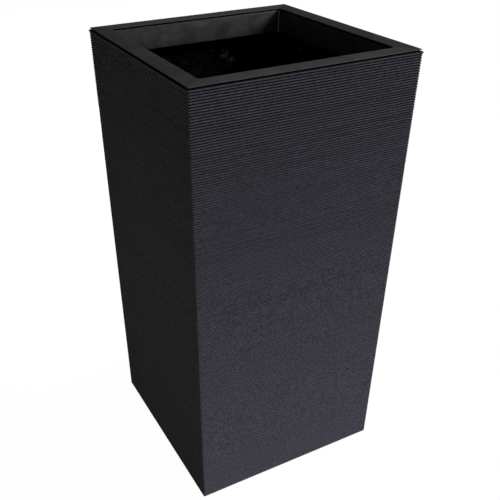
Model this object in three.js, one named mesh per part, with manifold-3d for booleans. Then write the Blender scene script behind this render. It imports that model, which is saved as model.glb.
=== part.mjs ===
// A tall, square, tapered glass-fibre planter with a finely ribbed wall and a smooth flat rim.
// Millimetres, +Z up, origin at the middle of the base on the ground. The front is -Y.

import * as THREE from 'three';
import * as BufferGeometryUtils from 'three/addons/utils/BufferGeometryUtils.js';
import Module from 'manifold-3d';

const wasm = await Module();
wasm.setup();

// ---- Driving dimensions ----

// Overall size
const totalHeight = 800;
const topWidth = 403; // across the rib crests at the top
const baseWidth = 376; // across the rib crests at the foot

// Ribbed wall moulding
const wallThickness = 5.5; // from the rib crests to the inner face
const ribCount = 190;
const ribDepth = 1.6;
const ribGrooveShare = 0.4; // share of a rib's pitch that slopes into the grooves
const topRibProud = 1.4; // how far the top rib stands out past the others
const footEase = 1.2; // chamfer along the bottom edge
const topFlangeWidth = 15; // flanges are measured in from the rib crests
const topFlangeThickness = 4;
const footFlangeWidth = 34;
const footFlangeThickness = 5;

// Rim frame
const rimInset = 1.2; // rim edge behind the rib crests
const rimArm = 30.5; // width of the flat top face
const rimEdge = 1.2; // visible edge of the rim
const shadowGap = 2.4; // open joint under that edge
const rimRebate = 5; // depth of the open joint, outside and inside
const rimCornerRadius = 0.8;
const openingCornerRadius = 4;

// Lip that hangs inside the opening
const lipDepth = 45; // from the top of the rim
const lipThickness = 3.5;

// Battens in the hollow between wall and lip
const battenHeight = 22;

// Floor tray and its drain
const floorThickness = 5;
const floorUpstand = 28; // height of the upturned edge above the floor
const upstandThickness = 4;
const drainRadius = 14;
const plugReach = 2.5; // how far the plug stands out under the floor
const plugFlangeRadius = 21;
const plugFlangeThickness = 3.5;
const plugKnobRadius = 8;
const plugKnobHeight = 4;
const pullRingRadius = 8; // to the middle of the ring's section
const pullRingThickness = 3.6;

// Loose soil shelf and the ledge strips that carry it
const shelfLevel = 480; // top of the ledges
const shelfThickness = 5;
const shelfBearing = 15; // how far the shelf lies on each ledge
const shelfCornerRadius = 6;
const ledgeHeight = 32;
const ledgeThickness = 4;
const weepHoleRadius = 2.5;
const weepHoleRows = 5;
const fingerSlotWidth = 24;
const fingerSlotLength = 72;
const stiffenerWidth = 12;
const stiffenerHeight = 14;

// Rubber pads
const footPadRadius = 12;
const footPadHeight = 3;
const footPadEase = 0.8;

// Clearances
const bondLine = 0.3; // resin between two bonded faces
const restGap = 0.3; // under a loose piece that rests on another
const plugClearance = 0.3; // round the plug in its hole
const shelfClearance = 2; // each side of the shelf as it passes the lip
const stiffenerClearance = 3; // from a shelf stiffener to the ledges

// Round detail
const roundSegments = 32;
const holeSegments = 8;
const padSegments = 24;
const cornerSegments = 4;

// ---- Sizes worked out from them ----

const wallFoot = footPadHeight + bondLine;
const wallTop = totalHeight - rimEdge - shadowGap;
const ribPitch = (wallTop - wallFoot) / ribCount;
const shellFlangeInner = topWidth / 2 - topFlangeWidth;
const flangeUnderside = wallTop - topFlangeThickness;
const footFlangeTop = wallFoot + footFlangeThickness;
const footFlangeInner = baseWidth / 2 - footFlangeWidth;

const rimOuter = topWidth / 2 - rimInset;
const rimInner = rimOuter - rimArm;

const lipInner = rimInner;
const lipOuter = lipInner + lipThickness;
const lipFoot = totalHeight - lipDepth;

const battenTop = flangeUnderside - bondLine;
const battenFoot = battenTop - battenHeight;
const battenInner = lipOuter + bondLine;

const floorFoot = footFlangeTop + bondLine;
const floorTop = floorFoot + floorThickness;
const upstandTop = floorTop + floorUpstand;

const shelfHalf = lipInner - shelfClearance;
const ledgeInner = shelfHalf - shelfBearing;
const ledgeFoot = shelfLevel - ledgeHeight;
const weepPitch = (2 * shelfHalf) / (weepHoleRows + 0.6);

const colours = {
  ribbedWall: 0x45454b,
  rim: 0x3f3f42,
  lip: 0x38383c,
  innerResin: 0x131315,
  timber: 0x3a2f26,
  shelf: 0x1d1d20,
  rubber: 0x17171a,
};

// Half the planter's width at a height, to the rib crests.
function crestHalf(z) {
  const share = (z - wallFoot) / (wallTop - wallFoot);
  return THREE.MathUtils.lerp(baseWidth / 2, topWidth / 2, share);
}

// Half the width of the hollow at a height.
function innerHalf(z) {
  return crestHalf(z) - wallThickness;
}

// Half the width that a piece bonded to the inner face reaches.
function bondedHalf(z) {
  return innerHalf(z) - bondLine;
}

// ---- Helpers ----

function material(colour, roughness) {
  return new THREE.MeshStandardMaterial({ color: colour, roughness, metalness: 0 });
}

function piece(name, geometry, finish) {
  const mesh = new THREE.Mesh(geometry, finish);
  mesh.name = name;
  return mesh;
}

// Turns a shape made along Y so that it stands along Z, without rounding.
function standUp(geometry) {
  const turn = new THREE.Matrix4();
  turn.set(1, 0, 0, 0, 0, 0, -1, 0, 0, 1, 0, 0, 0, 0, 0, 1);
  return geometry.applyMatrix4(turn);
}

// A round body from its profile of [radius, height] points, starting and ending on the axis.
function turned(profile, segments) {
  const points = profile.map(([radius, z]) => new THREE.Vector2(radius, z));
  return standUp(new THREE.LatheGeometry(points, segments));
}

// A square body from its profile of [half width, height] points, on the axis or closed.
function squareTurned(profile) {
  const points = profile.map(([half, z]) => new THREE.Vector2(half * Math.SQRT2, z));
  return standUp(new THREE.LatheGeometry(points, 4, Math.PI / 4));
}

function roundedRectangle(path, halfX, halfY, radius) {
  path.moveTo(halfX, -halfY + radius);
  path.lineTo(halfX, halfY - radius);
  path.absarc(halfX - radius, halfY - radius, radius, 0, Math.PI / 2);
  path.lineTo(-halfX + radius, halfY);
  path.absarc(-halfX + radius, halfY - radius, radius, Math.PI / 2, Math.PI);
  path.lineTo(-halfX, -halfY + radius);
  path.absarc(-halfX + radius, -halfY + radius, radius, Math.PI, 1.5 * Math.PI);
  path.lineTo(halfX - radius, -halfY);
  path.absarc(halfX - radius, -halfY + radius, radius, 1.5 * Math.PI, 2 * Math.PI);
  path.closePath();
  return path;
}

// A flat-lying body between two heights.
function plate(shape, bottom, top) {
  const settings = { depth: top - bottom, bevelEnabled: false, curveSegments: cornerSegments };
  return new THREE.ExtrudeGeometry(shape, settings).translate(0, 0, bottom);
}

// A square frame of flat bar between two heights.
function squareFrame(outer, inner, outerRadius, innerRadius, bottom, top) {
  const shape = roundedRectangle(new THREE.Shape(), outer, outer, outerRadius);
  shape.holes.push(roundedRectangle(new THREE.Path(), inner, inner, innerRadius));
  return plate(shape, bottom, top);
}

// A strip along one wall from its section of [distance from the middle, height] points.
function wallStrip(section, halfLength) {
  const shape = new THREE.Shape(section.map(([distance, z]) => new THREE.Vector2(distance, z)));
  const geometry = new THREE.ExtrudeGeometry(shape, { depth: 2 * halfLength, bevelEnabled: false });
  const alongWall = new THREE.Matrix4();
  alongWall.set(0, 0, -1, halfLength, -1, 0, 0, 0, 0, 1, 0, 0, 0, 0, 0, 1);
  return geometry.applyMatrix4(alongWall);
}

// Joins and cuts work on a closed mesh whose shared corners are merged.
function toSolid(geometry) {
  const bare = geometry.clone();
  bare.deleteAttribute('normal');
  bare.deleteAttribute('uv');
  const welded = BufferGeometryUtils.mergeVertices(bare, 1e-4);
  const corners = welded.index.array;
  const kept = [];
  for (let i = 0; i < corners.length; i += 3) {
    const [a, b, c] = corners.slice(i, i + 3);
    if (a !== b && b !== c && c !== a) {
      kept.push(a, b, c);
    }
  }
  const vertProperties = new Float32Array(welded.attributes.position.array);
  return new wasm.Manifold(new wasm.Mesh({ numProp: 3, vertProperties, triVerts: new Uint32Array(kept) }));
}

function toGeometry(solid) {
  const mesh = solid.getMesh();
  const geometry = new THREE.BufferGeometry();
  geometry.setAttribute('position', new THREE.BufferAttribute(mesh.vertProperties, 3));
  geometry.setIndex(new THREE.BufferAttribute(mesh.triVerts, 1));
  const flat = geometry.toNonIndexed();
  flat.computeVertexNormals();
  return flat;
}

function join(...geometries) {
  return toGeometry(geometries.map(toSolid).reduce((whole, next) => whole.add(next)));
}

function cut(body, tool) {
  return toGeometry(toSolid(body).subtract(toSolid(tool)));
}

// ---- Ribbed wall ----

// The outer face from the foot to the top: a groove's bottom, then one rib's flat crest, and so on.
function ribOutline() {
  const slope = (ribPitch * ribGrooveShare) / 2;
  const outline = [
    [crestHalf(wallFoot) - footEase, wallFoot],
    [crestHalf(wallFoot + footEase), wallFoot + footEase],
    [crestHalf(wallFoot + ribPitch - slope), wallFoot + ribPitch - slope],
  ];
  for (let rib = 1; rib < ribCount; rib += 1) {
    const proud = rib === ribCount - 1 ? topRibProud : 0;
    const low = wallFoot + rib * ribPitch;
    const crestStart = low + slope;
    const crestEnd = low + ribPitch - slope;
    outline.push([crestHalf(low) - ribDepth, low]);
    outline.push([crestHalf(crestStart) + proud, crestStart]);
    outline.push([crestHalf(crestEnd) + proud, crestEnd]);
  }
  outline.push([crestHalf(wallTop) + topRibProud - ribDepth, wallTop]);
  return outline;
}

function makeWallShell() {
  const outline = ribOutline();
  const profile = [
    ...outline,
    [shellFlangeInner, wallTop],
    [shellFlangeInner, flangeUnderside],
    [innerHalf(flangeUnderside), flangeUnderside],
    [innerHalf(footFlangeTop), footFlangeTop],
    [footFlangeInner, footFlangeTop],
    [footFlangeInner, wallFoot],
    outline[0],
  ];
  return piece('wall_shell', squareTurned(profile), material(colours.ribbedWall, 0.6));
}

// ---- Rim ----

function makeRimFrame() {
  const cap = squareFrame(
    rimOuter, rimInner, rimCornerRadius, openingCornerRadius, wallTop + shadowGap, totalHeight,
  );
  const seat = squareFrame(
    rimOuter - rimRebate, rimInner + rimRebate, rimCornerRadius, openingCornerRadius + rimRebate,
    wallTop + bondLine, totalHeight - rimEdge / 2,
  );
  return piece('rim_frame', join(cap, seat), material(colours.rim, 0.45));
}

function makeRimLip() {
  const skirt = squareFrame(
    lipOuter, lipInner, openingCornerRadius + lipThickness, openingCornerRadius, lipFoot, wallTop,
  );
  const flange = squareFrame(
    shellFlangeInner - bondLine, lipInner, openingCornerRadius, openingCornerRadius,
    flangeUnderside, wallTop,
  );
  return piece('rim_lip', join(skirt, flange), material(colours.lip, 0.4));
}

const wallTurns = { front: 0, right: Math.PI / 2, back: Math.PI, left: 1.5 * Math.PI };

// Four strips of one section: those at the front and back run through, those at the sides lie between.
function fourStrips(prefix, section, throughHalf, betweenHalf, finish) {
  const group = new THREE.Group();
  for (const [side, turn] of Object.entries(wallTurns)) {
    const runsThrough = side === 'front' || side === 'back';
    const strip = piece(`${prefix}_${side}`, wallStrip(section, runsThrough ? throughHalf : betweenHalf), finish);
    strip.rotation.z = turn;
    group.add(strip);
  }
  return group;
}

function makeBattens() {
  const section = [
    [battenInner, battenFoot],
    [bondedHalf(battenFoot), battenFoot],
    [bondedHalf(battenTop), battenTop],
    [battenInner, battenTop],
  ];
  const between = battenInner - bondLine;
  return fourStrips('rim_batten', section, bondedHalf(battenFoot), between, material(colours.timber, 0.9));
}

// ---- Floor and drain ----

function makeFloorPanel() {
  const tray = squareTurned([
    [0, floorFoot],
    [bondedHalf(floorFoot), floorFoot],
    [bondedHalf(upstandTop), upstandTop],
    [bondedHalf(upstandTop) - upstandThickness, upstandTop],
    [bondedHalf(floorTop) - upstandThickness, floorTop],
    [0, floorTop],
  ]);
  const bore = new THREE.CylinderGeometry(drainRadius, drainRadius, 3 * floorThickness, roundSegments);
  const hole = standUp(bore).translate(0, 0, floorFoot);
  return piece('floor_panel', cut(tray, hole), material(colours.innerResin, 0.5));
}

function makeDrainPlug() {
  const plugRadius = drainRadius - plugClearance;
  const flangeFoot = floorTop + restGap;
  const flangeTop = flangeFoot + plugFlangeThickness;
  const knobTop = flangeTop + plugKnobHeight;
  const stopper = turned([
    [0, floorFoot - plugReach],
    [plugRadius - plugReach / 2, floorFoot - plugReach],
    [plugRadius, floorFoot],
    [plugRadius, flangeFoot],
    [plugFlangeRadius, flangeFoot],
    [plugFlangeRadius, flangeTop],
    [plugKnobRadius, flangeTop],
    [plugKnobRadius, knobTop],
    [0, knobTop],
  ], roundSegments);
  const ring = new THREE.TorusGeometry(pullRingRadius, pullRingThickness / 2, holeSegments, padSegments);
  const pullRing = standUp(ring).translate(0, 0, knobTop + pullRingRadius - pullRingThickness / 2);
  return piece('drain_plug', join(stopper, pullRing), material(colours.rubber, 0.8));
}

// ---- Soil shelf ----

function makeLedges() {
  const legInner = (z) => bondedHalf(z) - ledgeThickness;
  const barUnderside = shelfLevel - ledgeThickness;
  const section = [
    [legInner(ledgeFoot), ledgeFoot],
    [bondedHalf(ledgeFoot), ledgeFoot],
    [bondedHalf(shelfLevel), shelfLevel],
    [ledgeInner, shelfLevel],
    [ledgeInner, barUnderside],
    [legInner(barUnderside), barUnderside],
  ];
  const between = ledgeInner - bondLine;
  return fourStrips('shelf_ledge', section, bondedHalf(ledgeFoot), between, material(colours.innerResin, 0.6));
}

function makeSoilShelf() {
  const bottom = shelfLevel + restGap;
  const outline = roundedRectangle(new THREE.Shape(), shelfHalf, shelfHalf, shelfCornerRadius);
  const betweenRows = 1.5 * weepPitch;
  for (const side of [-1, 1]) {
    const slot = roundedRectangle(
      new THREE.Path(), fingerSlotWidth / 2, fingerSlotLength / 2, fingerSlotWidth / 2 - 0.1,
    );
    const corners = slot.getPoints(cornerSegments);
    corners.forEach((corner) => corner.setX(corner.x + side * betweenRows));
    outline.holes.push(new THREE.Path(corners));
  }
  for (let row = 0; row < weepHoleRows; row += 1) {
    for (let column = 0; column < weepHoleRows; column += 1) {
      const x = (column - (weepHoleRows - 1) / 2) * weepPitch;
      const y = (row - (weepHoleRows - 1) / 2) * weepPitch;
      const hole = new THREE.Path().absarc(x, y, weepHoleRadius, 0, 2 * Math.PI);
      outline.holes.push(new THREE.Path(hole.getSpacedPoints(holeSegments)));
    }
  }
  const board = plate(outline, bottom, bottom + shelfThickness);
  const stiffenerLength = 2 * (ledgeInner - stiffenerClearance);
  const stiffeners = [-1, 1].map((side) => {
    const bar = new THREE.BoxGeometry(stiffenerLength, stiffenerWidth, stiffenerHeight + shelfThickness / 2);
    return bar.translate(0, side * betweenRows, bottom - stiffenerHeight / 2 + shelfThickness / 4);
  });
  return piece('soil_shelf', join(board, ...stiffeners), material(colours.shelf, 0.7));
}

// ---- Feet ----

function makeFootPads() {
  const group = new THREE.Group();
  const profile = [
    [0, 0],
    [footPadRadius - footPadEase, 0],
    [footPadRadius, footPadEase],
    [footPadRadius, footPadHeight],
    [0, footPadHeight],
  ];
  const offset = (baseWidth / 2 + footFlangeInner) / 2;
  for (const [depthName, y] of [['front', -offset], ['back', offset]]) {
    for (const [sideName, x] of [['left', -offset], ['right', offset]]) {
      const pad = piece(`foot_pad_${depthName}_${sideName}`, turned(profile, padSegments), material(colours.rubber, 0.9));
      pad.position.set(x, y, 0);
      group.add(pad);
    }
  }
  return group;
}

const planter = new THREE.Group();
planter.add(
  makeWallShell(),
  makeRimFrame(),
  makeRimLip(),
  makeBattens(),
  makeFloorPanel(),
  makeDrainPlug(),
  makeLedges(),
  makeSoilShelf(),
  makeFootPads(),
);

export default planter;
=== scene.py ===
"""Finished surfaces of a tall, ribbed, glass-fibre planter, with its floor, lamps and camera.

Metres, +Z up, origin at the middle of the base on the ground. The front is -Y.
"""

import math

import bmesh
import bpy
import numpy as np
from bpy.props import FloatProperty, FloatVectorProperty, IntProperty, PointerProperty
from mathutils import Matrix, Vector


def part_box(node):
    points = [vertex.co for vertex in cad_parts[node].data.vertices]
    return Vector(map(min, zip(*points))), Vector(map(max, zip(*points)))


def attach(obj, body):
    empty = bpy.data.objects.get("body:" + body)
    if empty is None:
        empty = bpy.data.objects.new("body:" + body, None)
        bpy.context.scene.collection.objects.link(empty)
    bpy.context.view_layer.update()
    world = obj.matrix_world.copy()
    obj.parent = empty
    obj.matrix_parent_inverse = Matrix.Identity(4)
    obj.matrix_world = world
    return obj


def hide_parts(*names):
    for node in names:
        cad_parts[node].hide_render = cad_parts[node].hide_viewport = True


bl_info = {
    "name": "Ribbed Planter",
    "version": (1, 0, 0),
    "blender": (4, 5, 0),
    "location": "3D View > Sidebar > Planter",
    "description": "Finishes a tall, ribbed, glass-fibre planter",
    "category": "Add Mesh",
}

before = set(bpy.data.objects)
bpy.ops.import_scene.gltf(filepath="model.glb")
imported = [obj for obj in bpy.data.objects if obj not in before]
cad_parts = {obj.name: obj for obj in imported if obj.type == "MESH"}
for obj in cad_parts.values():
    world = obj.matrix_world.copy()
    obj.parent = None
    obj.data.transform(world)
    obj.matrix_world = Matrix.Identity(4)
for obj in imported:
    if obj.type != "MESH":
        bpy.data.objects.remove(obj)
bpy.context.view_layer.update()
MM = 0.001

SHELL_LOW, SHELL_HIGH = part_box("wall_shell")
RIM_LOW, RIM_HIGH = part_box("rim_frame")
LIP_LOW, LIP_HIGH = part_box("rim_lip")
TRAY_LOW, TRAY_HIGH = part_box("floor_panel")
PLUG_LOW, PLUG_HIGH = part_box("drain_plug")

CAD_TOP_RIB = 1.4 * MM  # how far the node's top rib stands out past its crest line
SEAT_GAP = 0.3 * MM  # room between the tray and the plug's flange
CREASE_ANGLE = math.radians(40)  # edges sharper than this stay sharp
EASED_ANGLE = math.radians(50)  # edges sharper than this are eased
CORNER_GUARD = 0.985  # where the ribbed skin's outermost flat columns stand, in half widths
MIDDLE_NOISE = (0.3, 0.7)  # where most of a noise's values lie
POLE_JOIN = 1e-7  # points of a pole closer than this are joined
EASED_JOIN = 1e-6  # points of a copied node closer than this are joined

SIDES = ("front", "right", "back", "left")
PAD_NODES = [f"foot_pad_{end}_{side}" for end in ("front", "back") for side in ("left", "right")]
# Centre, radius and brightness of the painted glints, spots of highlight inside the back and the
# right wall.
GLINT_PATCHES = (
    ((0.064, 0.189, 0.722), 13 * MM, 1.0), ((0.078, 0.189, 0.706), 13 * MM, 0.8),
    ((0.189, 0.131, 0.726), 10 * MM, 0.8), ((0.189, 0.042, 0.745), 10 * MM, 0.8),
)


def length(name, description, default):
    """A size that a user may change."""
    return FloatProperty(
        name=name, description=description, default=default, min=0.0, precision=5,
        subtype="DISTANCE", unit="LENGTH",
    )


def share(name, description, default):
    """A number from 0 to 1."""
    return FloatProperty(
        name=name, description=description, default=default, min=0.0, max=1.0, subtype="FACTOR"
    )


def colour(name, description, default):
    """A surface colour, linear."""
    return FloatVectorProperty(
        name=name, description=description, default=default, size=3, min=0.0, max=1.0,
        subtype="COLOR",
    )


def setting(name, description, default, unit="NONE"):
    """A plain number, or one in watts, metres or radians."""
    return FloatProperty(name=name, description=description, default=default, unit=unit)


class PlanterWallSizes(bpy.types.PropertyGroup):
    """Sizes of the ribbed wall."""

    base_width: length("Base width", "Across the rib crests at the foot", 376 * MM)
    top_rib_proud: length("Top rib", "How far the top rib stands out", 0.9 * MM)
    rib_count: IntProperty(name="Ribs", description="Ribs from foot to top", default=190, min=2)
    rib_depth: length("Rib depth", "From crest to groove at the top", 2.1 * MM)
    foot_rib_depth: length("Rib depth at the foot", "From crest to groove at the foot", 0.8 * MM)
    rib_wander: length("Rib wander", "How much the crests differ from each other", 0.05 * MM)
    corner_radius: length("Corner radius", "Rounding of the upright edges", 2 * MM)
    foot_radius: length("Foot radius", "Rounding of the bottom edge", 1.2 * MM)
    skin: length("Skin", "Thickness of the ribbed skin", 3 * MM)
    wall: length("Wall", "Rib crest to inner face", 5.5 * MM)
    top_flange: length("Top flange", "Width from the rib crests", 15 * MM)
    top_flange_thickness: length("Top flange thickness", "Thickness under the rim", 4 * MM)
    foot_flange: length("Foot flange", "Width from the rib crests", 34 * MM)
    foot_flange_thickness: length("Foot flange thickness", "Thickness under the floor", 5 * MM)
    lay_up: length("Lay-up", "Height of the lumps in the glass mat inside", 0.5 * MM)


class PlanterRimSizes(bpy.types.PropertyGroup):
    """Sizes of the rim frame and the lip under it."""

    arm: length("Arm", "Width of the flat rim", 30.5 * MM)
    edge: length("Edge", "Visible thickness of the rim", 1.2 * MM)
    rebate: length("Rebate", "Depth of the open joint under the rim", 5 * MM)
    crown: length("Crown", "How much the middle of an arm stands up", 0.25 * MM)
    outer_round: length("Outer rounding", "Rounding along the outer edge", 0.6 * MM)
    inner_round: length("Inner rounding", "Width of the rounding along the inner edge", 2.6 * MM)
    outer_corner: length("Outer corner", "Radius of the rim's outer corners", 0.8 * MM)
    inner_corner: length("Inner corner", "Radius of the opening's corners", 4.5 * MM)
    lip_thickness: length("Lip", "Thickness of the hanging lip", 3.5 * MM)
    lip_round: length("Lip rounding", "Rounding along the lip's top edge", 2.4 * MM)
    lip_waviness: length("Waviness", "How uneven the lip's face is", 0.25 * MM)


class PlanterDrainSizes(bpy.types.PropertyGroup):
    """Sizes of the floor tray and the drain plug."""

    upstand: length("Upstand", "Thickness of the tray's upturned edge", 4 * MM)
    floor: length("Floor", "Thickness of the tray", 5 * MM)
    fillet: length("Fillet", "Radius between floor and upturned edge", 9 * MM)
    hole: length("Hole", "Radius of the drain hole", 14 * MM)
    plug_gap: length("Plug gap", "Room round the plug in its hole", 0.3 * MM)
    plug_flange: length("Plug flange", "Thickness of the plug's flange", 3.5 * MM)
    knob: length("Knob", "Radius of the plug's knob", 8 * MM)
    knob_height: length("Knob height", "Height of the knob over the flange", 4 * MM)
    ring: length("Pull ring", "Radius to the middle of the ring's section", 8 * MM)
    ring_section: length("Ring section", "Radius of the ring's section", 1.8 * MM)


class PlanterFinish(bpy.types.PropertyGroup):
    """Colours and gloss."""

    gelcoat: colour("Gelcoat", "Ribbed wall", (0.065, 0.0622, 0.0775))
    rim: colour("Rim", "Smooth rim", (0.0344, 0.0338, 0.0353))
    lip: colour("Lip", "Lip inside the opening", (0.0525, 0.0519, 0.0563))
    laminate: colour("Laminate", "Bare resin inside", (0.0022, 0.0022, 0.0028))
    # The colour of the painted glints on the resin inside.
    glint_colour: colour("Dry glass", "Patches where the mat took up no resin", (0.47, 0.475, 0.55))
    shelf: colour("Shelf", "Soil shelf", (0.012, 0.012, 0.014))
    timber: colour("Timber", "Resin-soaked battens", (0.030, 0.020, 0.013))
    rubber: colour("Rubber", "Plug and pads", (0.010, 0.010, 0.011))
    # groove is the brightness that the painted shade leaves in the grooves near the top.
    groove: share("Groove", "Brightness of the grooves near the top, where the crests have 1", 0.05)
    gelcoat_roughness: share("Gelcoat roughness", "Matt wall", 0.85)
    rim_roughness: share("Rim roughness", "Satin rim", 0.6)
    lip_roughness: share("Lip roughness", "Satin lip", 0.36)
    gelcoat_gloss: share("Gelcoat gloss", "Strength of the wall's gloss", 0.05)
    rim_gloss: share("Rim gloss", "Strength of the rim's gloss", 0.12)
    lip_gloss: share("Lip gloss", "Strength of the lip's gloss", 0.31)
    laminate_gloss: share("Laminate gloss", "Strength of the resin's gloss", 0.31)


class PlanterStudio(bpy.types.PropertyGroup):
    """Floor, lamps and camera."""

    floor_size: length("Floor", "Width of the floor", 60.0)
    floor_colour: colour("Floor colour", "What the floor reflects", (0.0375, 0.0375, 0.0375))
    floor_lift: share("Floor lift", "Extra white that only the eye sees", 0.975)
    gloss_share: share("Gloss share", "Part of that white that gloss sees", 0.03)
    sky: share("Sky", "Strength of the light from all round", 0.048)
    key_power: setting("Key", "Main lamp", 1200.0, "POWER")
    top_power: setting("Top", "Lamp overhead", 48.0, "POWER")
    left_power: setting("Left", "Lamp at the left", 3.3, "POWER")
    front_power: setting("Front", "Lamp at the front", 19.0, "POWER")
    back_power: setting("Back", "Low lamp at the back", 48.0, "POWER")
    eye_x: setting("Eye X", "Camera, to the right", -0.5898, "LENGTH")
    eye_y: setting("Eye Y", "Camera, to the back", -1.0426, "LENGTH")
    eye_z: setting("Eye Z", "Camera, upwards", 1.0857, "LENGTH")
    heading: setting("Heading", "Turn from +Y", math.radians(-27.13), "ROTATION")
    tilt: setting("Tilt", "Downward tilt", math.radians(30.01), "ROTATION")
    roll: setting("Roll", "Turn of the picture", math.radians(-0.71), "ROTATION")
    focal: setting("Focal length", "In picture widths", 1.4343)
    shift_x: setting("Shift X", "In picture widths", 0.0638)
    shift_y: setting("Shift Y", "In picture widths", 0.0025)


# ---- Surfaces ----


def plane_waves(points, wavelength, seed):
    """A rolling field near -1 to 1: the sum of cosine waves over the root of their number.

    The waves' directions, lengths and phases are seeded.
    """
    count = 14
    rng = np.random.default_rng(seed)
    direction = rng.normal(size=(count, 3))
    direction /= np.linalg.norm(direction, axis=1, keepdims=True)
    turn = 2 * np.pi / (wavelength * rng.uniform(0.6, 1.7, count))
    phase = rng.uniform(0, 2 * np.pi, count)
    return np.cos((points @ direction.T) * turn + phase).sum(axis=-1) / math.sqrt(count)


def square_loop(side_columns, corner_columns, reach=None):
    """The unit square with its corners ready for rounding, counter-clockwise from the front left.

    Returns a centre and an outward direction for each column. A square of half width h and
    corner radius r is centre * (h - r) + outward * r. The columns of a side are evenly spaced,
    or end at reach, in half widths: close to 1 it keeps the corners' shading off the flat sides.
    """
    if reach is None:
        reach = (side_columns - 1) / (side_columns + 1)
    along = np.linspace(-reach, reach, side_columns)
    angle = np.linspace(-math.pi / 2, 0, corner_columns)
    side = np.stack([along, -np.ones_like(along)], axis=1)
    corner = np.tile([1.0, -1.0], (corner_columns, 1))
    centre = np.concatenate([side, corner])
    straight = np.tile([0.0, -1.0], (side_columns, 1))
    outward = np.concatenate([straight, np.stack([np.cos(angle), np.sin(angle)], axis=1)])
    centres, outwards = [], []
    for quarter in range(4):
        c, s = (1, 0, -1, 0)[quarter], (0, 1, 0, -1)[quarter]
        turn = np.array([[c, s], [-s, c]])
        centres.append(centre @ turn)
        outwards.append(outward @ turn)
    return np.concatenate(centres), np.concatenate(outwards)


def square_sweep(profile, loop):
    """Carries a profile of [half width, height, corner radius] rows round the square loop."""
    centre, outward = loop
    half, z, radius = np.asarray(profile, dtype=float).T
    flat = centre[None] * (half - radius)[:, None, None] + outward[None] * radius[:, None, None]
    height = np.broadcast_to(z[:, None, None], flat.shape[:2] + (1,))
    return np.concatenate([flat, height], axis=-1)


def turned(profile, columns, middle=(0.0, 0.0)):
    """Carries a profile of [radius, height] rows once round the upright line through middle."""
    radius, z = np.asarray(profile, dtype=float).T
    angle = np.arange(columns) * 2 * np.pi / columns
    x = middle[0] + radius[:, None] * np.cos(angle)
    y = middle[1] + radius[:, None] * np.sin(angle)
    return np.stack([x, y, np.broadcast_to(z[:, None], x.shape)], axis=-1)


def arc(middle, radius, start, end, count):
    """Points on an arc in the profile plane, from one angle to another in degrees."""
    angle = np.radians(np.linspace(start, end, count))
    across, up = radius if isinstance(radius, tuple) else (radius, radius)
    return np.stack([middle[0] + across * np.cos(angle), middle[1] + up * np.sin(angle)], axis=1)


def between(start, end, count):
    """Evenly spaced points from one profile point to another, both ends left out."""
    step = np.linspace(0, 1, count + 2)[1:-1, None]
    return np.asarray(start, dtype=float) * (1 - step) + np.asarray(end, dtype=float) * step


def with_radius(profile, radius):
    """Adds a corner radius, one value or one for each row, to [half width, height] rows."""
    rows = np.asarray(profile, dtype=float)
    return np.column_stack([rows, np.broadcast_to(radius, len(rows))])


def faces_of(rows, columns, close_rows):
    """The four corners of each face of a grid that closes on itself across its columns."""
    index = np.arange(rows * columns).reshape(rows, columns)
    index = np.concatenate([index, index[:, :1]], axis=1)
    if close_rows:
        index = np.concatenate([index, index[:1]], axis=0)
    corners = (index[:-1, :-1], index[:-1, 1:], index[1:, 1:], index[1:, :-1])
    return np.stack(corners, axis=-1).reshape(-1, 4)


def placed(name, mesh, material, body, nodes):
    """Puts a mesh of one material into the scene, on a body and in place of its nodes."""
    mesh.materials.clear()
    mesh.materials.append(material)
    piece = bpy.data.objects.new(name, mesh)
    bpy.context.scene.collection.objects.link(piece)
    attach(piece, body)
    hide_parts(*nodes)
    return piece


def skin(name, grids, material, slot, body, nodes, close_rows=True, marks=None):
    """One piece from one or more grids. The first stays open where its end rows lie on an axis.

    Marks are values of the piece's own for its material, by name, one for each point.
    """
    points = np.concatenate([grid.reshape(-1, 3) for grid in grids])
    starts = np.cumsum([0] + [grid.shape[0] * grid.shape[1] for grid in grids[:-1]])
    faces = np.concatenate([
        faces_of(*grid.shape[:2], close_rows or number > 0) + start
        for number, (grid, start) in enumerate(zip(grids, starts))
    ])
    mesh = bpy.data.meshes.new(name)
    mesh.vertices.add(len(points))
    mesh.vertices.foreach_set("co", points.astype(np.float32).ravel())
    mesh.loops.add(faces.size)
    mesh.loops.foreach_set("vertex_index", faces.astype(np.int32).ravel())
    mesh.polygons.add(len(faces))
    mesh.polygons.foreach_set("loop_start", np.arange(0, faces.size, 4, dtype=np.int32))
    mesh.update(calc_edges=True)
    if not close_rows:
        merge_points(mesh, POLE_JOIN)
    mesh.validate()
    mesh.polygons.foreach_set("use_smooth", np.ones(len(mesh.polygons), dtype=bool))
    mesh.set_sharp_from_angle(angle=CREASE_ANGLE)
    for mark, values in (marks or {}).items():
        attribute = mesh.attributes.new(mark, "FLOAT", "POINT")
        attribute.data.foreach_set("value", values.astype(np.float32).ravel())
    placed(name, mesh, material, body, nodes)


def merge_points(mesh, distance):
    """Joins points that lie on each other, such as those of a pole."""
    work = bmesh.new()
    work.from_mesh(mesh)
    bmesh.ops.remove_doubles(work, verts=work.verts, dist=distance)
    work.to_mesh(mesh)
    work.free()


def eased_copy(node, name, width, material, body):
    """A plain moulded or sawn piece: the node's own shape with its edges eased."""
    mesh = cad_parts[node].data.copy()
    mesh.name = name
    merge_points(mesh, EASED_JOIN)
    piece = placed(name, mesh, material, body, [node])
    ease = piece.modifiers.new("Eased edges", "BEVEL")
    ease.width = width
    ease.segments = 2
    ease.limit_method = "ANGLE"
    ease.angle_limit = EASED_ANGLE


# ---- Materials ----


def blank(name):
    """A new material with its shader, node tree and object coordinates."""
    material = bpy.data.materials.new(name)
    material.use_nodes = True
    tree = material.node_tree
    shader = tree.nodes["Principled BSDF"]
    place = tree.nodes.new("ShaderNodeTexCoord").outputs["Object"]
    return material, tree, shader, place


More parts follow.
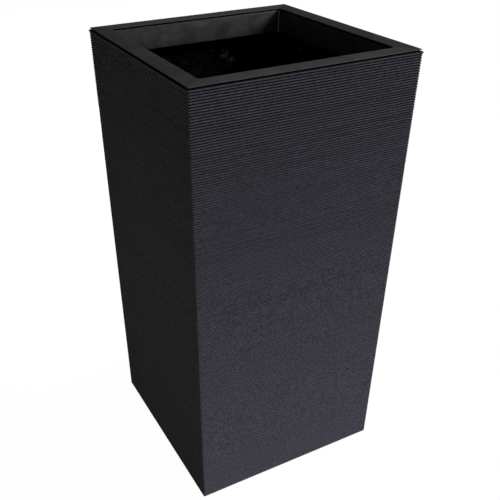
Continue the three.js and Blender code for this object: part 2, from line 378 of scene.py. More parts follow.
def stretched(tree, place, scale, turn=(0.0, 0.0, 0.0)):
    """Object coordinates turned and stretched for a pattern with a grain."""
    mapping = tree.nodes.new("ShaderNodeMapping")
    mapping.inputs["Scale"].default_value = scale
    mapping.inputs["Rotation"].default_value = turn
    tree.links.new(place, mapping.inputs["Vector"])
    return mapping.outputs["Vector"]


def noise(tree, place, scale, detail=3.0, roughness=0.55, distortion=0.0):
    """Cloudy values near 0.5; scale is in patches for each metre."""
    node = tree.nodes.new("ShaderNodeTexNoise")
    node.inputs["Scale"].default_value = scale
    node.inputs["Detail"].default_value = detail
    node.inputs["Roughness"].default_value = roughness
    node.inputs["Distortion"].default_value = distortion
    tree.links.new(place, node.inputs["Vector"])
    return node.outputs["Fac"]


def spread(tree, value, low, high, to_low=0.0, to_high=1.0):
    """Stretches values from low..high to to_low..to_high and clamps them."""
    node = tree.nodes.new("ShaderNodeMapRange")
    limits = {"From Min": low, "From Max": high, "To Min": to_low, "To Max": to_high}
    for socket, number in limits.items():
        node.inputs[socket].default_value = number
    tree.links.new(value, node.inputs["Value"])
    return node.outputs["Result"]


def combine(tree, operation, first, second):
    """One sum, product or other step on two values, either of which may be a plain number."""
    node = tree.nodes.new("ShaderNodeMath")
    node.operation = operation
    for socket, value in zip(node.inputs, (first, second)):
        if isinstance(value, (int, float)):
            socket.default_value = value
        else:
            tree.links.new(value, socket)
    return node.outputs["Value"]


def two_tone(tree, value, base, dark, light):
    """Mixes from the base colour times dark to the base colour times light."""
    node = tree.nodes.new("ShaderNodeMix")
    node.data_type = "RGBA"
    node.inputs["A"].default_value = (*[c * dark for c in base], 1.0)
    node.inputs["B"].default_value = (*[min(1.0, c * light) for c in base], 1.0)
    tree.links.new(value, node.inputs["Factor"])
    return node.outputs["Result"]


def mixed(tree, share_of_second, first, second):
    """A colour from the tree mixed with a plain second colour."""
    node = tree.nodes.new("ShaderNodeMix")
    node.data_type = "RGBA"
    node.inputs["B"].default_value = (*second, 1.0)
    tree.links.new(first, node.inputs["A"])
    tree.links.new(share_of_second, node.inputs["Factor"])
    return node.outputs["Result"]


def bump(tree, shader, height, depth, strength, under=None):
    """Raises the surface by a height from 0 to 1 that stands for a depth in metres."""
    node = tree.nodes.new("ShaderNodeBump")
    node.inputs["Strength"].default_value = strength
    node.inputs["Distance"].default_value = depth
    tree.links.new(height, node.inputs["Height"])
    if under is not None:
        tree.links.new(under, node.inputs["Normal"])
    tree.links.new(node.outputs["Normal"], shader.inputs["Normal"])
    return node.outputs["Normal"]


def coat(tree, shader, base, rough, gloss=0.5):
    """Gives the shader its base colour, its roughness and the strength of its gloss."""
    tree.links.new(base, shader.inputs["Base Color"])
    tree.links.new(rough, shader.inputs["Roughness"])
    shader.inputs["Specular IOR Level"].default_value = gloss


def axes_of(tree, place):
    """The X, Y and Z of object coordinates, by name."""
    parts = tree.nodes.new("ShaderNodeSeparateXYZ")
    tree.links.new(place, parts.inputs["Vector"])
    return parts.outputs


def gelcoat_material(finish):
    """Matt grained gelcoat with painted shade down in the grooves, which fades towards the foot."""
    material, tree, shader, place = blank("matt_ribs")
    grain = noise(tree, place, 1300.0, 2.0)
    fleck = noise(tree, place, 260.0, 3.0, 0.75)
    cloud = noise(tree, place, 16.0, 4.0)
    rib = tree.nodes.new("ShaderNodeAttribute")
    rib.attribute_name = "rib_share"
    up = axes_of(tree, place)["Z"]
    # Painted shade in the grooves: darker the higher up the wall and the deeper in a groove.
    depth = spread(tree, up, 0.0, SHELL_HIGH[2], 0.0, 1.0 - finish.groove)
    groove = combine(tree, "MULTIPLY", depth, spread(tree, rib.outputs["Fac"], 0.0, 1.0, 1.0, 0.0))
    flecked = spread(tree, fleck, *MIDDLE_NOISE, 0.25, 0.71)
    tone = combine(tree, "ADD", flecked, spread(tree, cloud, *MIDDLE_NOISE, 0.0, 0.04))
    tone = combine(tree, "MULTIPLY", tone, combine(tree, "SUBTRACT", 1.0, groove))
    base = two_tone(tree, tone, finish.gelcoat, 0.0, 2.0)
    matt = finish.gelcoat_roughness
    rough = spread(tree, cloud, *MIDDLE_NOISE, matt - 0.06, matt + 0.08)
    coat(tree, shader, base, rough, finish.gelcoat_gloss)
    bump(tree, shader, grain, 0.12 * MM, 0.5)
    return material


def beyond_mitre(tree, place):
    """How far a point is past the mitres: above 0 on the left and right arms, below 0 elsewhere."""
    axes = axes_of(tree, place)
    across = combine(tree, "ABSOLUTE", axes["X"], 0.0)
    along = combine(tree, "ABSOLUTE", axes["Y"], 0.0)
    return combine(tree, "SUBTRACT", across, along)


def arm_shade(tree, place, side_shade):
    """1 on the arms along X and a darker share on those along Y: painted shade, as if those arms
    caught less light.
    """
    joint = 0.2 * MM
    return spread(tree, beyond_mitre(tree, place), -joint, joint, 1.0, side_shade)


def rim_material(finish):
    """Smooth satin gelcoat with faint smears; painted shade darkens the arms along Y, changing at
    the mitres.
    """
    material, tree, shader, place = blank("satin_rim")
    cloud = noise(tree, place, 22.0, 4.0, 0.6, 0.4)
    grain = noise(tree, place, 1500.0, 2.0)
    fleck = noise(tree, place, 420.0, 1.0)
    smeared = spread(tree, cloud, *MIDDLE_NOISE, 0.0, 0.16)
    tone = combine(tree, "ADD", smeared, spread(tree, fleck, *MIDDLE_NOISE, 0.34, 0.5))
    # Painted shade on the arms along Y.
    tone = combine(tree, "MULTIPLY", tone, arm_shade(tree, place, 0.68))
    base = two_tone(tree, tone, finish.rim, 0.0, 2.0)
    satin = finish.rim_roughness
    rough = spread(tree, cloud, *MIDDLE_NOISE, satin - 0.06, satin + 0.08)
    coat(tree, shader, base, rough, finish.rim_gloss)
    bump(tree, shader, grain, 0.05 * MM, 0.4)
    return material


def lip_material(finish):
    """Satin gelcoat with its mould's marks; painted light makes it brighter towards the top,
    painted shade darkens its top edge under the rim, and a painted highlight runs down each corner.
    """
    material, tree, shader, place = blank("satin_lip")
    patch = noise(tree, place, 26.0, 5.0, 0.6, 0.8)
    fine = noise(tree, place, 420.0, 3.0)
    up, top = axes_of(tree, place)["Z"], LIP_HIGH[2]
    # Painted light: the lip gets brighter towards its top.
    top_light = spread(tree, up, LIP_LOW[2], top, 0.72, 1.4)
    # Painted shade along the top edge, in the open joint under the rim.
    gap_shade = spread(tree, up, top - 3 * MM, top - 1 * MM, 1.0, 0.2)
    tone = combine(tree, "MULTIPLY", spread(tree, patch, 0.34, 0.66, 0.28, 0.72), top_light)
    tone = combine(tree, "MULTIPLY", tone, gap_shade)
    corner = combine(tree, "ABSOLUTE", beyond_mitre(tree, place), 0.0)
    # Painted highlight: a pale strip down each corner.
    corner_highlight = spread(tree, corner, 1.2 * MM, 2.4 * MM, 1.0, 0.0)
    tone = combine(tree, "MAXIMUM", combine(tree, "MULTIPLY", tone, 0.25), corner_highlight)
    base = two_tone(tree, tone, finish.lip, 0.0, 8.0)
    satin = finish.lip_roughness
    rough = spread(tree, patch, *MIDDLE_NOISE, satin + 0.14, satin - 0.08)
    coat(tree, shader, base, rough, finish.lip_gloss)
    broad = bump(tree, shader, patch, 0.6 * MM, 0.35)
    bump(tree, shader, fine, 0.05 * MM, 0.35, broad)
    return material


def strands(tree, place):
    """Chopped glass strands: the highest of three grains of thin streaks, turned apart."""
    layers = []
    for number, turn in enumerate(((0.3, 0.5, 0.2), (1.2, -0.7, 0.9), (-0.8, 1.1, 2.2)), 1):
        turned_place = stretched(tree, place, (30.0, 30.0, 700.0), turn)
        streak = noise(tree, turned_place, 1.0, 1.0, 0.5, 0.15 * number)
        layers.append(spread(tree, streak, 0.56, 0.72))
    return combine(tree, "MAXIMUM", combine(tree, "MAXIMUM", layers[0], layers[1]), layers[2])


def patch_at(tree, place, centre, radius, brightness):
    """A soft patch round a point: its brightness in the middle, 0 from the radius outwards."""
    away = tree.nodes.new("ShaderNodeVectorMath")
    away.operation = "DISTANCE"
    away.inputs[1].default_value = centre
    tree.links.new(place, away.inputs[0])
    return spread(tree, away.outputs["Value"], 0.3 * radius, radius, brightness, 0.0)


def laminate_material(finish):
    """Black resin over glass mat: strands show through, with wet drips and pale painted glints."""
    material, tree, shader, place = blank("glass_laminate")
    mat = strands(tree, place)
    pool = noise(tree, place, 34.0, 4.0, 0.6, 1.0)
    tone = combine(tree, "MULTIPLY", mat, spread(tree, pool, 0.35, 0.65))
    # Painted highlights: pale glints at the listed patches.
    glint = 0.0
    for centre, radius, brightness in GLINT_PATCHES:
        glint = combine(tree, "MAXIMUM", patch_at(tree, place, centre, radius, brightness), glint)
    ragged = spread(tree, noise(tree, place, 150.0, 4.0, 0.7), 0.42, 0.58)
    glint = combine(tree, "MULTIPLY", glint, ragged)
    resin = two_tone(tree, tone, finish.laminate, 0.7, 3.2)
    base = mixed(tree, glint, resin, finish.glint_colour)
    rough = spread(tree, pool, 0.4, 0.62, 0.5, 0.16)
    coat(tree, shader, base, rough, finish.laminate_gloss)
    broad = bump(tree, shader, pool, 1.2 * MM, 0.5)
    bump(tree, shader, mat, 0.4 * MM, 0.5, broad)
    return material


def shelf_material(finish):
    """Black moulded board with a fine cast texture and scuffs."""
    material, tree, shader, place = blank("moulded_board")
    scuff = noise(tree, stretched(tree, place, (40.0, 9.0, 40.0), (0.0, 0.0, 0.5)), 1.0, 6.0, 0.7)
    grain = noise(tree, place, 700.0, 3.0)
    base = two_tone(tree, spread(tree, scuff, 0.4, 0.7), finish.shelf, 0.8, 1.7)
    rough = spread(tree, scuff, 0.4, 0.7, 0.48, 0.7)
    coat(tree, shader, base, rough)
    bump(tree, shader, grain, 0.12 * MM, 0.5)
    return material


def timber_material(finish):
    """Sawn wood soaked with dark resin; the grain runs along each batten."""
    material, tree, shader, place = blank("resin_timber")
    grain = noise(tree, stretched(tree, place, (60.0, 60.0, 420.0)), 1.0, 5.0, 0.6, 0.6)
    base = two_tone(tree, spread(tree, grain, 0.35, 0.65), finish.timber, 0.55, 1.5)
    rough = spread(tree, grain, 0.35, 0.65, 0.75, 0.9)
    coat(tree, shader, base, rough)
    bump(tree, shader, grain, 0.3 * MM, 0.6)
    return material


def rubber_material(finish):
    """Moulded black rubber with a dusty bloom."""
    material, tree, shader, place = blank("black_rubber")
    bloom = noise(tree, place, 120.0, 4.0)
    base = two_tone(tree, spread(tree, bloom, 0.35, 0.7), finish.rubber, 0.8, 1.8)
    rough = spread(tree, bloom, 0.35, 0.7, 0.62, 0.85)
    coat(tree, shader, base, rough)
    bump(tree, shader, noise(tree, place, 1800.0, 2.0), 0.05 * MM, 0.5)
    return material


def material_for(name):
    """The finish of that name, made the first time it is asked for."""
    finish = bpy.context.scene.planter_finish
    makers = {
        "matt_ribs": gelcoat_material,
        "satin_rim": rim_material,
        "satin_lip": lip_material,
        "glass_laminate": laminate_material,
        "moulded_board": shelf_material,
        "resin_timber": timber_material,
        "black_rubber": rubber_material,
    }
    return bpy.data.materials.get(name) or makers[name](finish)


# ---- Wall ----


def height_share(z):
    """0 at the wall's foot, 1 at its top."""
    return (z - SHELL_LOW[2]) / (SHELL_HIGH[2] - SHELL_LOW[2])


def crest_half(z, sizes):
    """Half the width across the rib crests at a height, a straight line from foot to top."""
    top_half = SHELL_HIGH[0] - CAD_TOP_RIB
    foot_half = sizes.base_width / 2
    return foot_half + (top_half - foot_half) * height_share(z)


def groove_depth(z, sizes):
    """How deep the grooves are at a height: the ribs get shallower towards the foot."""
    return sizes.foot_rib_depth + (sizes.rib_depth - sizes.foot_rib_depth) * height_share(z)


def rib_pitch(sizes):
    """The height of one rib with its groove."""
    return (SHELL_HIGH[2] - SHELL_LOW[2]) / sizes.rib_count


def top_rib(z, sizes):
    """How far the outline is pushed out at a height: only the top rib stands proud."""
    return np.where(z > SHELL_HIGH[2] - rib_pitch(sizes), sizes.top_rib_proud, 0.0)


def rib_outline(sizes):
    """The ribbed face from foot to top: each rib is half an ellipse between two sharp grooves."""
    steps = 8
    low, high = SHELL_LOW[2], SHELL_HIGH[2]
    number = np.arange(sizes.rib_count)[:, None]
    angle = np.linspace(0, np.pi, steps + 1)[None, :-1]
    wander = np.random.default_rng(7).normal(0.0, 1.0, sizes.rib_count).clip(-2, 0)[:, None]
    z = low + (number + (1 - np.cos(angle)) / 2) * rib_pitch(sizes)
    depth = groove_depth(z, sizes)
    rise = np.sin(angle) * (depth + sizes.rib_wander * wander)
    half = crest_half(z, sizes) - depth + rise + top_rib(z, sizes)
    ribs = np.column_stack([half.ravel(), z.ravel()])
    foot_middle = (sizes.base_width / 2 - sizes.foot_radius, low + sizes.foot_radius)
    foot = arc(foot_middle, sizes.foot_radius, -90, 0, 6)
    last = [(crest_half(high, sizes) + sizes.top_rib_proud - sizes.rib_depth, high)]
    return np.concatenate([foot, ribs[ribs[:, 1] > low + sizes.foot_radius], last])


def ribbed_skin_profile(sizes):
    """The skin's outline: up the ribs, in over the top flange, down the inside, out at the foot."""
    low, high = SHELL_LOW[2], SHELL_HIGH[2]
    under_top = high - sizes.top_flange_thickness
    over_foot = low + sizes.foot_flange_thickness
    flange = crest_half(high, sizes) - sizes.top_flange
    foot_flange = sizes.base_width / 2 - sizes.foot_flange
    back_top = (crest_half(under_top, sizes) - sizes.skin, under_top)
    back_foot = (crest_half(over_foot, sizes) - sizes.skin, over_foot)
    inside = [
        (flange, high), (flange, under_top), back_top,
        *between(back_top, back_foot, 20),
        back_foot, (foot_flange, over_foot), (foot_flange, low),
    ]
    outline = rib_outline(sizes)
    radius = np.concatenate([
        np.full(len(outline), sizes.corner_radius), np.full(len(inside), sizes.corner_radius / 2)
    ])
    return with_radius(np.concatenate([outline, inside]), radius)


def rib_share(grid, profile, sizes):
    """How far each point stands up from its groove, from 0 to 1, to the power of sharpness."""
    sharpness = 6
    half, z, _ = profile.T
    depth = groove_depth(z, sizes)
    height = (half - top_rib(z, sizes) - crest_half(z, sizes) + depth) / depth
    return np.broadcast_to(height[:, None].clip(0, 1) ** sharpness, grid.shape[:2])


def laminate_profile(sizes):
    """The glass-mat backing's outline: a thin wall against the skin's back."""
    clear, rows, corner_radius = 0.1 * MM, 240, 5 * MM
    low = SHELL_LOW[2] + sizes.foot_flange_thickness + 2 * clear
    high = SHELL_HIGH[2] - sizes.top_flange_thickness - 2 * clear
    back = sizes.skin + clear
    outer = [(crest_half(low, sizes) - back, low), (crest_half(high, sizes) - back, high)]
    z = np.linspace(high, low, rows)
    inner = np.column_stack([crest_half(z, sizes) - sizes.wall, z])
    return with_radius(np.concatenate([outer, inner]), corner_radius)


def lay_up_lumps(grid, outward, sizes):
    """Pushes the laminate's inner face back by broad hollows and small blisters.

    The first two rows are its outer face, which stays flat. A column moves only across those
    sides that it faces.
    """
    inner = grid[2:]
    broad = plane_waves(inner, 60 * MM, seed=3)
    small = plane_waves(inner, 9 * MM, seed=5)
    push = sizes.lay_up * (0.5 + 0.35 * broad + 0.25 * small).clip(0.0, 1.6)
    across = np.where(np.abs(outward) > 0.3, outward, 0.0)
    grid[2:, :, :2] += across[None] * push[..., None]
    return grid


class PLANTER_OT_ribbed_wall(bpy.types.Operator):
    """Make the ribbed skin and the glass-mat laminate behind it"""

    bl_idname = "planter.ribbed_wall"
    bl_label = "Ribbed wall"

    def execute(self, context):
        sizes = context.scene.planter_wall
        profile = ribbed_skin_profile(sizes)
        outside = square_sweep(profile, square_loop(3, 5, CORNER_GUARD))
        skin(
            "ribbed_skin", [outside],
            material_for("matt_ribs"), "ribbed_gelcoat", "planter", ["wall_shell"],
            # rib_share drives the painted shade in the grooves.
            marks={"rib_share": rib_share(outside, profile, sizes)},
        )
        loop = square_loop(44, 4)
        inside = lay_up_lumps(square_sweep(laminate_profile(sizes), loop), loop[1], sizes)
        laminate = material_for("glass_laminate")
        skin("wall_laminate", [inside], laminate, "raw_laminate", "planter", ["wall_shell"])
        return {"FINISHED"}


# ---- Rim ----


def rim_profile(sizes):
    """The rim's section: a thin crowned cap with rounded edges over a narrower seat."""
    outer, top = RIM_HIGH[0], RIM_HIGH[2]
    inner = outer - sizes.arm
    under_edge = top - sizes.edge
    shoulder = top - sizes.crown
    outer_middle = (outer - sizes.outer_round, shoulder - sizes.outer_round)
    outer_arc = arc(outer_middle, sizes.outer_round, 0, 80, 5)
    land = 0.1 * MM
    height = shoulder - under_edge - land
    inner_middle = (inner + sizes.inner_round, shoulder - height)
    inner_arc = arc(inner_middle, (sizes.inner_round, height), 95, 180, 8)
    across = np.linspace(outer - 1.5 * sizes.outer_round, inner + 1.2 * sizes.inner_round, 17)
    middle = (across[0] + across[-1]) / 2
    rise = sizes.crown * (1 - ((across - middle) / (across[0] - middle)) ** 2)
    cap = np.column_stack([across, shoulder + rise])
    seat_inner, seat_outer = inner + sizes.rebate, outer - sizes.rebate
    seat = [
        (inner, under_edge), (seat_inner, under_edge), (seat_inner, RIM_LOW[2]),
        (seat_outer, RIM_LOW[2]), (seat_outer, under_edge), (outer, under_edge),
    ]
    profile = np.concatenate([outer_arc, cap, inner_arc, seat])
    part = ((outer - profile[:, 0]) / sizes.arm).clip(0, 1)
    radius = sizes.outer_corner + (sizes.inner_corner - sizes.outer_corner) * part
    return with_radius(profile, radius)


class PLANTER_OT_rim_frame(bpy.types.Operator):
    """Make the flat rim frame with its eased edges and mitred corners"""

    bl_idname = "planter.rim_frame"
    bl_label = "Rim frame"

    def execute(self, context):
        sizes = context.scene.planter_rim
        grid = square_sweep(rim_profile(sizes), square_loop(30, 7))
        dip = 0.06 * MM * (1 + plane_waves(grid, 130 * MM, seed=11)).clip(0, 2)
        cap = grid[..., 2] > RIM_LOW[2] + MM
        grid[..., 2] -= dip * cap
        satin = material_for("satin_rim")
        skin("rim_cap", [grid], satin, "rim_gelcoat", "planter", ["rim_frame"])
        return {"FINISHED"}


def lip_profile(sizes):
    """The lip's section: a hanging leg with rounded edges, and a flange behind the rim's edge."""
    inner = RIM_HIGH[0] - sizes.arm
    outer = inner + sizes.lip_thickness
    foot, top = LIP_LOW[2], LIP_HIGH[2]
    flange, under, slope = LIP_HIGH[0], top - 4 * MM, 2 * MM
    foot_radius = sizes.lip_thickness / 2
    round_foot = arc((outer - foot_radius, foot + foot_radius), foot_radius, 180, 360, 12)
    face_top = (inner, top - sizes.lip_round)
    face = between(face_top, round_foot[0], 34)
    edge = arc((inner + sizes.lip_round, top - sizes.lip_round), sizes.lip_round, 90, 180, 7)
    back = [(outer, under - slope), (outer + slope, under), (flange, under), (flange, top)]
    profile = np.concatenate([round_foot[6:], back, edge, face, round_foot[:6]])
    radius = sizes.inner_corner + (profile[:, 0] - inner).clip(0, sizes.lip_thickness)
    return with_radius(profile, radius)


class PLANTER_OT_rim_lip(bpy.types.Operator):
    """Make the lip that hangs inside the opening, slightly uneven as it left its mould"""

    bl_idname = "planter.rim_lip"
    bl_label = "Rim lip"

    def execute(self, context):
        sizes = context.scene.planter_rim
        loop = square_loop(36, 9)
        profile = lip_profile(sizes)
        grid = square_sweep(profile, loop)
        leg = profile[:, 0] < RIM_HIGH[0] - sizes.arm + sizes.lip_thickness + MM
        wave = sizes.lip_waviness * np.abs(plane_waves(grid, 70 * MM, seed=21)) * leg[:, None]
        grid[..., :2] += loop[1][None] * wave[..., None]
        satin = material_for("satin_lip")
        skin("lip_skirt", [grid], satin, "lip_gelcoat", "planter", ["rim_lip"])
        return {"FINISHED"}


class PLANTER_OT_battens(bpy.types.Operator):
    """Make the four battens in the hollow of the rim"""

    bl_idname = "planter.battens"
    bl_label = "Rim battens"

    def execute(self, context):
        timber = material_for("resin_timber")
        for side in SIDES:
            node = f"rim_batten_{side}"
            eased_copy(node, f"batten_{side}", 0.8 * MM, timber, "planter")
        return {"FINISHED"}


# ---- Floor, plug, shelf and feet ----


def tray_rows(sizes):
    """The tray's section: out along the underside, up the upturned edge and back to the hole.

    Each row is [half width, height, corner radius, squareness]; at squareness 0 it is a circle.
    """
    hole_round, corner_radius = 0.8 * MM, 3 * MM
    round_reach, blend_width = 12 * MM, 60 * MM
    low, high = TRAY_LOW[2], TRAY_HIGH[2]
    top = low + sizes.floor
    slope = math.tan(math.radians(1.0))
    outer = TRAY_HIGH[0] - (high - low) * slope
    edge = sizes.upstand / 2
    outside = np.concatenate([
        between((sizes.hole, low), (outer, low), 14),
        [(outer, low)],
        between((outer, low), (TRAY_HIGH[0], high), 5),
        arc((TRAY_HIGH[0] - edge, high - edge), edge, 0, 180, 9),
    ])
    inner = outer - sizes.upstand
    fillet = arc((inner - sizes.fillet, top + sizes.fillet), sizes.fillet, 0, -90, 7)
    floor = between((inner - sizes.fillet, top), (sizes.hole + hole_round, top), 30)
    hole_edge = arc((sizes.hole + hole_round, top - hole_round), hole_round, 90, 180, 4)
    rows = np.concatenate([outside, fillet, floor, hole_edge, [(sizes.hole, low + 0.01 * MM)]])
    squareness = ((rows[:, 0] - sizes.hole - round_reach) / blend_width).clip(0, 1)
    return np.column_stack([rows, np.minimum(rows[:, 0], corner_radius), squareness ** 0.5])


def tray_grid(sizes):
    """Blends each row from a circle to a square by its squareness; the floor is a little uneven."""
    fillet_row, uneven_from, uneven_to, dent = -40, 26 * MM, 170 * MM, 0.4 * MM
    rows = tray_rows(sizes)
    grid = square_sweep(rows[:, :3], square_loop(26, 3))
    square = grid[fillet_row, :, :2]
    direction = square / np.linalg.norm(square, axis=1, keepdims=True)
    circle = rows[:, 0][:, None, None] * direction[None]
    squareness = rows[:, 3][:, None, None]
    grid[..., :2] = circle * (1 - squareness) + grid[..., :2] * squareness
    half, z = rows[:, 0], rows[:, 1]
    uneven = (half > uneven_from) & (half < uneven_to) & (z > TRAY_LOW[2] + MM)
    grid[uneven, :, 2] -= dent * np.abs(plane_waves(grid[uneven], 40 * MM, seed=31))
    return grid


class PLANTER_OT_floor_tray(bpy.types.Operator):
    """Make the floor tray with its drain hole"""

    bl_idname = "planter.floor_tray"
    bl_label = "Floor tray"

    def execute(self, context):
        tray = tray_grid(context.scene.planter_drain)
        laminate = material_for("glass_laminate")
        skin("floor_tray", [tray], laminate, "raw_laminate", "planter", ["floor_panel"])
        return {"FINISHED"}


def knob_heights(sizes):
    """The heights of the plug's flange, of its knob's foot and of its knob's top."""
    flange_low = TRAY_LOW[2] + sizes.floor + SEAT_GAP
    knob_low = flange_low + sizes.plug_flange
    return flange_low, knob_low, knob_low + sizes.knob_height


def plug_grid(sizes):
    """The plug's section turned once round: tapered stopper, rounded flange and knob."""
    soft, knob_round, neck = 1.5 * MM, 1.2 * MM, 0.4 * MM
    foot = PLUG_LOW[2]
    radius = sizes.hole - sizes.plug_gap
    edge = sizes.plug_flange / 2
    flange_low, knob_low, knob_top = knob_heights(sizes)
    profile = np.concatenate([
        [(0.0, foot), (radius - 3 * MM, foot)],
        arc((radius - 2.2 * MM, foot + soft), soft, -80, -10, 5),
        [(radius, TRAY_LOW[2] + MM), (radius, flange_low - neck), (radius + neck, flange_low)],
        arc((PLUG_HIGH[0] - edge, flange_low + edge), edge, -90, 90, 9),
        arc((sizes.knob + soft, knob_low + soft), soft, -90, -180, 5),
        arc((sizes.knob - knob_round, knob_top - knob_round), knob_round, 0, 90, 5),
        [(0.0, knob_top)],
    ])
    return turned(profile, 48)


def ring_grid(sizes):
    """A ring standing upright on the knob, a circle carried round a circle."""
    around_count, section_count = 48, 16
    middle = knob_heights(sizes)[2] + sizes.ring - sizes.ring_section
    around = np.arange(around_count)[:, None] * 2 * np.pi / around_count
    section = np.arange(section_count)[None] * 2 * np.pi / section_count
    reach = sizes.ring + sizes.ring_section * np.cos(section)
    x = reach * np.cos(around)
    z = middle + reach * np.sin(around)
    y = np.broadcast_to(sizes.ring_section * np.sin(section), x.shape)
    return np.stack([x, y, z], axis=-1)


class PLANTER_OT_drain_plug(bpy.types.Operator):
    """Make the rubber drain plug with its pull ring"""

    bl_idname = "planter.drain_plug"
    bl_label = "Drain plug"

    def execute(self, context):
        sizes = context.scene.planter_drain
        skin(
            "rubber_plug", [plug_grid(sizes), ring_grid(sizes)],
            material_for("black_rubber"), "rubber", "drain_plug", ["drain_plug"],
            close_rows=False,
        )
        return {"FINISHED"}


class PLANTER_OT_soil_shelf(bpy.types.Operator):
    """Make the loose soil shelf and the ledges that carry it"""

    bl_idname = "planter.soil_shelf"
    bl_label = "Soil shelf"

    def execute(self, context):
        board = material_for("moulded_board")
        eased_copy("soil_shelf", "shelf_board", 0.7 * MM, board, "soil_shelf")
        laminate = material_for("glass_laminate")
        for side in SIDES:
            node = f"shelf_ledge_{side}"
            eased_copy(node, f"ledge_{side}", 1.0 * MM, laminate, "planter")
        return {"FINISHED"}


def pad_grid(node):
    """A pad's section turned once round: three shallow rings of grip under a rounded disc."""
    low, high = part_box(node)
    middle = ((low[0] + high[0]) / 2, (low[1] + high[1]) / 2)
    radius = (high[0] - low[0]) / 2
    rings, deepest, foot_round, top_round = 3, 0.5 * MM, 0.8 * MM, 0.5 * MM
    tread = np.linspace(0.0, radius - 1.2 * MM, 40)
    wave = np.sin(tread / tread[-1] * 2 * rings * np.pi)
    groove = deepest * np.clip(wave - 0.4, 0, None)
    side = arc((radius - foot_round, low[2] + foot_round), foot_round, -70, 0, 5)
    top = arc((radius - top_round, high[2] - top_round), top_round, 0, 90, 4)
    under = np.column_stack([tread, low[2] + groove])
    return turned(np.concatenate([under, side, top, [(0.0, high[2])]]), 40, middle)


class PLANTER_OT_foot_pads(bpy.types.Operator):
    """Make the rubber pads under the corners"""

    bl_idname = "planter.foot_pads"
    bl_label = "Foot pads"

    def execute(self, context):
        rubber = material_for("black_rubber")
        for node in PAD_NODES:
            name = node.replace("foot_pad", "rubber_pad")
            skin(name, [pad_grid(node)], rubber, "rubber", "planter", [node], close_rows=False)
        return {"FINISHED"}


# ---- Stage ----

MIDDLE = (0.0, 0.0, 0.45)
WHITE = (1.0, 1.0, 1.0)
# Name, setting for the power, width, place, target and tint of each lamp.
LAMPS = (
    ("key_lamp", "key_power", 4.0, (7.1, -2.2, 5.5), MIDDLE, WHITE),
    ("top_lamp", "top_power", 3.0, (1.0, -1.0, 8.0), MIDDLE, WHITE),
    ("left_lamp", "left_power", 0.16, (-1.2, -0.1, 0.72), (-0.2, 0.0, 0.72), (0.98, 1.0, 0.83)),
    ("front_lamp", "front_power", 0.3, (0.0, -2.2, 0.5), (0.0, 0.0, 0.5), (0.97, 0.96, 1.0)),
    ("back_lamp", "back_power", 0.5, (0.3, 2.2, 0.4), (0.0, 0.2, 0.4), WHITE),
)


def floor_material(studio):
    """A pale floor that shows shadows; the eye sees it lifted to white."""
    material = bpy.data.materials.new("pale_floor")
    material.use_nodes = True
    tree = material.node_tree
    tree.nodes.clear()
    diffuse = tree.nodes.new("ShaderNodeBsdfDiffuse")
    diffuse.inputs["Color"].default_value = (*studio.floor_colour, 1.0)
    lift = tree.nodes.new("ShaderNodeEmission")
    lift.inputs["Color"].default_value = (*WHITE, 1.0)
    seen = seen_by_eye(tree, studio.gloss_share)
    tree.links.new(combine(tree, "MULTIPLY", seen, studio.floor_lift), lift.inputs["Strength"])
    both = tree.nodes.new("ShaderNodeAddShader")
    tree.links.new(diffuse.outputs["BSDF"], both.inputs[0])
    tree.links.new(lift.outputs["Emission"], both.inputs[1])
    output = tree.nodes.new("ShaderNodeOutputMaterial")
    tree.links.new(both.outputs["Shader"], output.inputs["Surface"])
    return material


def seen_by_eye(tree, gloss_share):
    """1 for the eye and for what is seen through glass, and a small share of that for gloss."""
    path = tree.nodes.new("ShaderNodeLightPath")
    rays = path.outputs
    eye = combine(tree, "MAXIMUM", rays["Is Camera Ray"], rays["Is Transmission Ray"])
    gloss = combine(tree, "MULTIPLY", rays["Is Glossy Ray"], gloss_share)
    return combine(tree, "MAXIMUM", eye, gloss)


def light_world(studio):
    """Plain soft light from all round; the eye sees the sky white."""
    world = bpy.data.worlds.new("plain_sky")
    world.use_nodes = True
    tree = world.node_tree
    background = tree.nodes["Background"]
    background.inputs["Color"].default_value = (*WHITE, 1.0)
    seen = seen_by_eye(tree, studio.gloss_share)
    tree.links.new(combine(tree, "MAXIMUM", seen, studio.sky), background.inputs["Strength"])
    bpy.context.scene.world = world


def area_lamp(name, power, size, place, target, tint):
    """A soft square lamp turned towards a point."""
    lamp = bpy.data.lights.new(name, "AREA")
    lamp.energy = power
    lamp.color = tint
    lamp.size = size
    holder = bpy.data.objects.new(name, lamp)
    holder.visible_camera = False
    bpy.context.scene.collection.objects.link(holder)
    line = np.asarray(place, dtype=float) - np.asarray(target, dtype=float)
    ahead = line / np.linalg.norm(line)
    side = np.cross((0.0, 0.0, 1.0), ahead)
    side /= np.linalg.norm(side)
    up = np.cross(ahead, side)
    rows = np.eye(4)
    rows[:3, 0], rows[:3, 1], rows[:3, 2], rows[:3, 3] = side, up, ahead, place
    holder.matrix_world = Matrix(rows.tolist())


def place_camera(studio):
    """The photograph's view: heading about Z, downward tilt, then roll about the line of sight."""
    data = bpy.data.cameras.new("photo_view")
    data.sensor_width = 36.0
    data.lens = studio.focal * data.sensor_width
    data.shift_x = studio.shift_x
    data.shift_y = studio.shift_y
    data.clip_start, data.clip_end = 0.05, 200.0
    camera = bpy.data.objects.new("photo_view", data)
    bpy.context.scene.collection.objects.link(camera)
    eye = Matrix.Translation((studio.eye_x, studio.eye_y, studio.eye_z))
    upright = Matrix.Rotation(math.pi / 2, 4, "X")
    look = Matrix.Rotation(studio.heading, 4, "Z") @ Matrix.Rotation(-studio.tilt, 4, "X") @ upright
    camera.matrix_world = eye @ look @ Matrix.Rotation(studio.roll, 4, "Z")
    bpy.context.scene.camera = camera


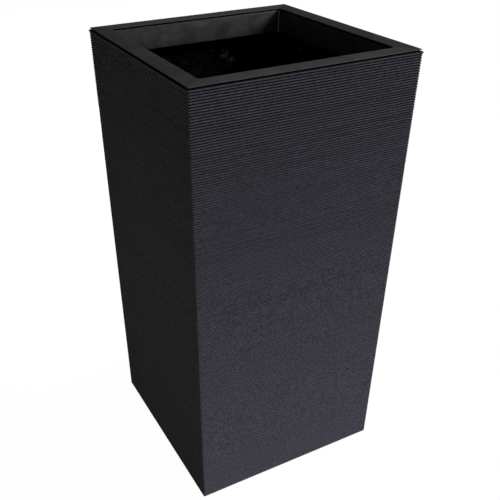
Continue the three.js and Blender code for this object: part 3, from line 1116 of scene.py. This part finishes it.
class PLANTER_OT_studio(bpy.types.Operator):
    """Make the floor, the lamps, the sky and the camera"""

    bl_idname = "planter.studio"
    bl_label = "Studio"

    def execute(self, context):
        studio = context.scene.planter_studio
        mesh = bpy.data.meshes.new("floor")
        half = studio.floor_size / 2
        corners = [(-half, -half, 0), (half, -half, 0), (half, half, 0), (-half, half, 0)]
        mesh.from_pydata(corners, [], [(0, 1, 2, 3)])
        mesh.materials.append(floor_material(studio))
        floor = bpy.data.objects.new("floor", mesh)
        context.scene.collection.objects.link(floor)
        light_world(studio)
        for name, power, *rest in LAMPS:
            area_lamp(name, getattr(studio, power), *rest)
        place_camera(studio)
        context.scene.view_settings.view_transform = "Standard"
        return {"FINISHED"}


# ---- Add-on ----

STEPS = (
    PLANTER_OT_ribbed_wall,
    PLANTER_OT_rim_frame,
    PLANTER_OT_rim_lip,
    PLANTER_OT_battens,
    PLANTER_OT_floor_tray,
    PLANTER_OT_drain_plug,
    PLANTER_OT_soil_shelf,
    PLANTER_OT_foot_pads,
    PLANTER_OT_studio,
)
GROUPS = {
    "planter_wall": PlanterWallSizes,
    "planter_rim": PlanterRimSizes,
    "planter_drain": PlanterDrainSizes,
    "planter_finish": PlanterFinish,
    "planter_studio": PlanterStudio,
}


class PLANTER_PT_sidebar(bpy.types.Panel):
    """Lists the steps, and the sizes and colours that they use"""

    bl_idname = "PLANTER_PT_sidebar"
    bl_label = "Planter"
    bl_space_type = "VIEW_3D"
    bl_region_type = "UI"
    bl_category = "Planter"

    def draw(self, context):
        for step in STEPS:
            self.layout.operator(step.bl_idname)
        for name, group in GROUPS.items():
            box = self.layout.box()
            box.label(text=group.__doc__)
            for field in group.__annotations__:
                box.prop(getattr(context.scene, name), field)


CLASSES = (*GROUPS.values(), *STEPS, PLANTER_PT_sidebar)


def register():
    """Adds the steps, the panel and the scene's settings."""
    for kind in CLASSES:
        bpy.utils.register_class(kind)
    for name, group in GROUPS.items():
        setattr(bpy.types.Scene, name, PointerProperty(type=group))


def unregister():
    """Takes them out again, last one first."""
    for name in GROUPS:
        delattr(bpy.types.Scene, name)
    for kind in reversed(CLASSES):
        bpy.utils.unregister_class(kind)


def main():
    """Registers the add-on and runs each step once."""
    register()
    for step in STEPS:
        family, action = step.bl_idname.split(".")
        getattr(getattr(bpy.ops, family), action)()
    bpy.context.view_layer.update()


if __name__ == "__main__":
    main()
